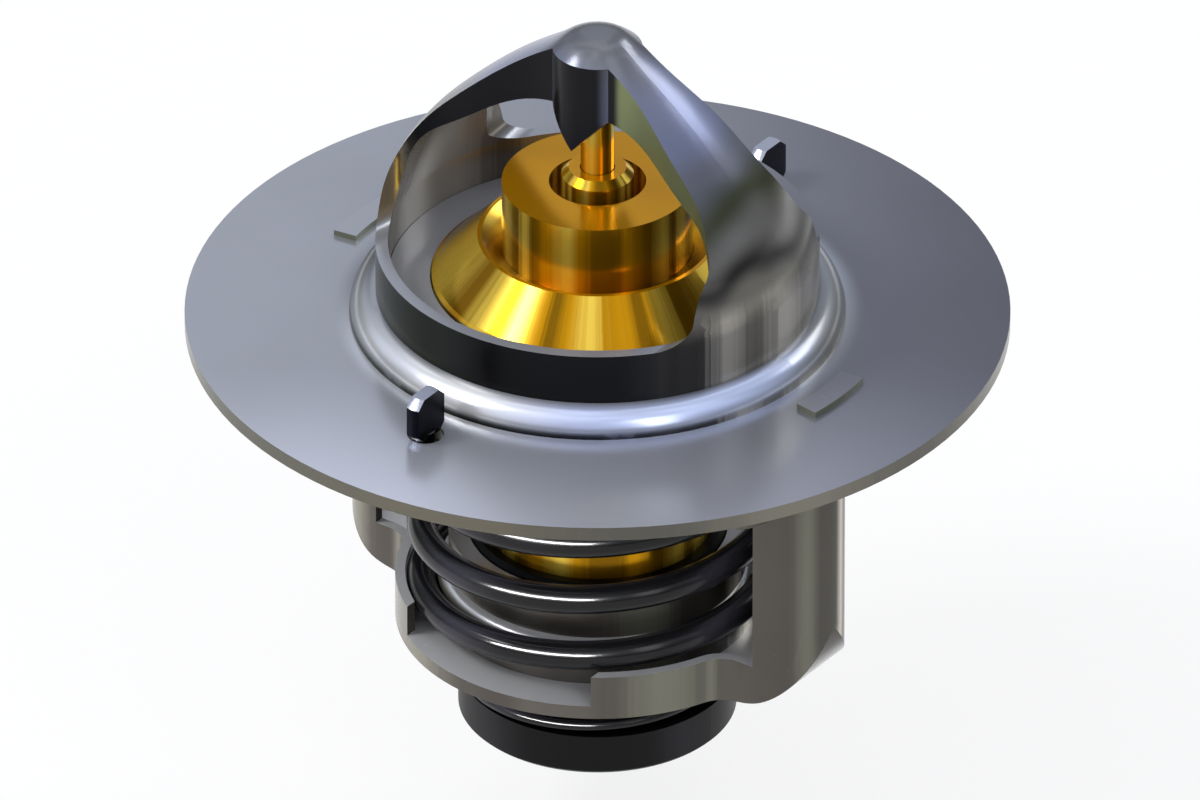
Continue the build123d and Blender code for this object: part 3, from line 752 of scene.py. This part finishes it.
def wound(name, wire, radius, foot, top, start, flat, turns, sides):
    """A spring of round wire: its section is swept up the turns, with a flat turn at each end."""
    deselect()
    bpy.ops.mesh.primitive_circle_add(vertices=sides, radius=wire / 2, location=(radius, 0, 0))
    section = bpy.context.object
    section.name = name
    section.rotation_euler = (math.pi / 2, 0, 0)
    bpy.ops.object.transform_apply(location=True, rotation=True, scale=True)

    # Each stretch: the turn where it starts, its own turn, its height and its rise
    stretches = (
        (-flat, flat, foot, 0.0),
        (0.0, turns * math.tau, foot, top - foot),
        (turns * math.tau, flat, top, 0.0),
    )
    made = []
    for turn_from, angle, height, rise in stretches:
        piece = section.copy()
        piece.data = section.data.copy()
        bpy.context.collection.objects.link(piece)
        piece.location = (0, 0, height)
        piece.rotation_euler = (0, 0, start + turn_from)
        deselect()
        piece.select_set(True)
        bpy.context.view_layer.objects.active = piece
        screw = piece.modifiers.new("turns", "SCREW")
        screw.angle = angle
        screw.screw_offset = rise
        screw.steps = max(FEWEST_STEPS, int(STEPS_A_TURN * angle / math.tau))
        screw.render_steps = screw.steps
        screw.use_smooth_shade = True
        bpy.ops.object.modifier_apply(modifier="turns")
        bpy.ops.object.transform_apply(location=True, rotation=True, scale=True)
        made.append(piece)
    bpy.data.objects.remove(section)

    # One piece of the three, welded where they meet and closed at both ends
    deselect()
    for piece in made:
        piece.select_set(True)
    bpy.context.view_layer.objects.active = made[0]
    bpy.ops.object.join()
    spring = bpy.context.object
    spring.name = name
    bpy.ops.object.mode_set(mode="EDIT")
    bpy.ops.mesh.select_all(action="SELECT")
    bpy.ops.mesh.remove_doubles(threshold=wire * WELD_SHARE)
    bpy.ops.mesh.select_all(action="DESELECT")
    bpy.ops.mesh.select_mode(type="EDGE")
    bpy.ops.mesh.select_non_manifold()
    bpy.ops.mesh.edge_face_add()
    bpy.ops.mesh.select_all(action="SELECT")
    bpy.ops.mesh.normals_make_consistent(inside=False)
    bpy.ops.object.mode_set(mode="OBJECT")
    bpy.ops.object.shade_smooth_by_angle(angle=SMOOTH_UNDER)
    return spring


floor_of_spring, top_of_spring = (corner.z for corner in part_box("main_spring"))
coil_foot = floor_of_spring + WIRE / 2
coil_top = top_of_spring - WIRE / 2
main_coil = wound(
    "main_coil", WIRE, COIL_RADIUS, coil_foot, coil_top, COIL_START, FLAT_TURN,
    (coil_top - coil_foot) / COIL_PITCH, WIRE_SIDES,
)
main_coil.data.materials.append(gloss_black)
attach(main_coil, "housing")
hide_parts("main_spring")
valve_lift = frame["joints"][0]["range_m"][1]
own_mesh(main_coil)

thin_low, thin_high = (corner.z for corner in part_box("bypass_spring"))
bypass_coil = wound(
    "bypass_coil", THIN_WIRE, THIN_COIL_RADIUS, thin_low + THIN_WIRE / 2,
    thin_high - THIN_WIRE / 2, THIN_COIL_START, THIN_FLAT_TURN, THIN_COIL_TURNS, THIN_WIRE_SIDES,
)
bypass_coil.data.materials.append(gloss_black)
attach(bypass_coil, "valve")
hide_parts("bypass_spring")
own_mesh(bypass_coil)


def make_floor():
    """Plain white floor with the part's soft shadow, low enough for the valve to open above it."""
    deselect()
    height = cad_low.z - valve_lift - FLOOR_GAP
    bpy.ops.mesh.primitive_plane_add(size=FLOOR_SIZE, location=(0, 0, height))
    floor = bpy.context.object
    floor.name = "floor"
    material, graph, shader = new_material("white_floor")
    shader.inputs["Base Color"].default_value = rgb(0.95, 0.95, 0.95)
    shader.inputs["Roughness"].default_value = 0.9
    shader.inputs["Specular IOR Level"].default_value = 0.0

    # White of its own where it is seen directly, in a reflection or through something clear
    white = graph.add("ShaderNodeEmission")
    rays = graph.add("ShaderNodeLightPath").outputs
    seen = graph.math("MAXIMUM", rays["Is Camera Ray"], rays["Is Glossy Ray"])
    seen = graph.math("MAXIMUM", seen, rays["Is Transmission Ray"])
    blend = graph.add("ShaderNodeMixShader")
    graph.link(graph.math("MULTIPLY", seen, FLOOR_OWN_LIGHT), blend.inputs[0])
    graph.link(shader.outputs[0], blend.inputs[1])
    graph.link(white.outputs[0], blend.inputs[2])
    ending = next(node for node in material.node_tree.nodes if node.type == "OUTPUT_MATERIAL")
    graph.link(blend.outputs[0], ending.inputs["Surface"])
    floor.data.materials.append(material)


def make_world():
    """Studio surroundings: a pale line at the horizon, a dark low wall and a cool bright ceiling,
    all of them white where the camera sees them directly.
    """
    world = bpy.data.worlds.new("studio")
    bpy.context.scene.world = world
    world.use_nodes = True
    graph = Graph(world.node_tree)
    direction = graph.add("ShaderNodeTexCoord").outputs["Generated"]
    height = graph.parts(direction)[2]
    walls = banded(graph, height, SURROUNDINGS, interpolation="LINEAR")

    # Soft panels of more and less light round the studio
    around = graph.mapping(direction, scale=(1.6, 1.6, 0.5), location=(0.3, 0.1, 0.0))
    patches = graph.noise(around, scale=2.2, detail=0.5)
    panels = graph.smooth(patches, 0.40, 0.58, to_low=0.65, to_high=1.35)
    shade = graph.mix(1.0, walls, panels, "MULTIPLY")
    seen = graph.add("ShaderNodeLightPath").outputs["Is Camera Ray"]
    background = world.node_tree.nodes["Background"]
    graph.link(graph.mix(seen, shade, WHITE), background.inputs["Color"])
    background.inputs["Strength"].default_value = 1.0


def add_softbox(name, place, size, power):
    """A soft lamp that faces the part."""
    lamp = bpy.data.lights.new(name, "AREA")
    lamp.shape = "RECTANGLE"
    lamp.size, lamp.size_y = size
    lamp.energy = power
    holder = bpy.data.objects.new(name, lamp)
    bpy.context.collection.objects.link(holder)
    holder.location = place
    holder.rotation_euler = (-Vector(place)).to_track_quat("-Z", "Y").to_euler()
    return holder


def make_lamps():
    """The studio's lamps, and a strip that lights the springs alone, under the flange."""
    for lamp in LAMPS:
        add_softbox(*lamp)
    strip = add_softbox(*STRIP)
    lit_by_strip = bpy.data.collections.new("lit_by_strip")
    for coil in (main_coil, bypass_coil):
        lit_by_strip.objects.link(coil)
    strip.light_linking.receiver_collection = lit_by_strip


def make_camera():
    """Long lens, aimed so that the flange's centre falls where the picture has it."""
    back = FRONT * math.cos(ELEVATION) + Vector((0, 0, math.sin(ELEVATION)))
    up = back.cross(RIGHT)
    step_right = (PICTURE_WIDTH_PX / 2 - ORIGIN_PX[0]) / PIXELS_PER_MM * MM
    step_down = (PICTURE_HEIGHT_PX / 2 - ORIGIN_PX[1]) / PIXELS_PER_MM * MM
    aim = RIGHT * step_right - up * step_down
    lens = bpy.data.cameras.new("camera")
    lens.lens = LENS_MM
    lens.sensor_width = SENSOR_MM
    lens.clip_start = CLIP_START
    lens.clip_end = CLIP_END
    camera = bpy.data.objects.new("camera", lens)
    bpy.context.collection.objects.link(camera)
    distance = PICTURE_WIDTH_PX / PIXELS_PER_MM * MM * LENS_MM / SENSOR_MM
    camera.location = aim + back * distance
    camera.rotation_euler = Matrix((RIGHT, up, back)).transposed().to_euler()
    bpy.context.scene.camera = camera


make_camera()
make_floor()
make_world()
make_lamps()

bpy.context.scene.view_settings.view_transform = "Standard"
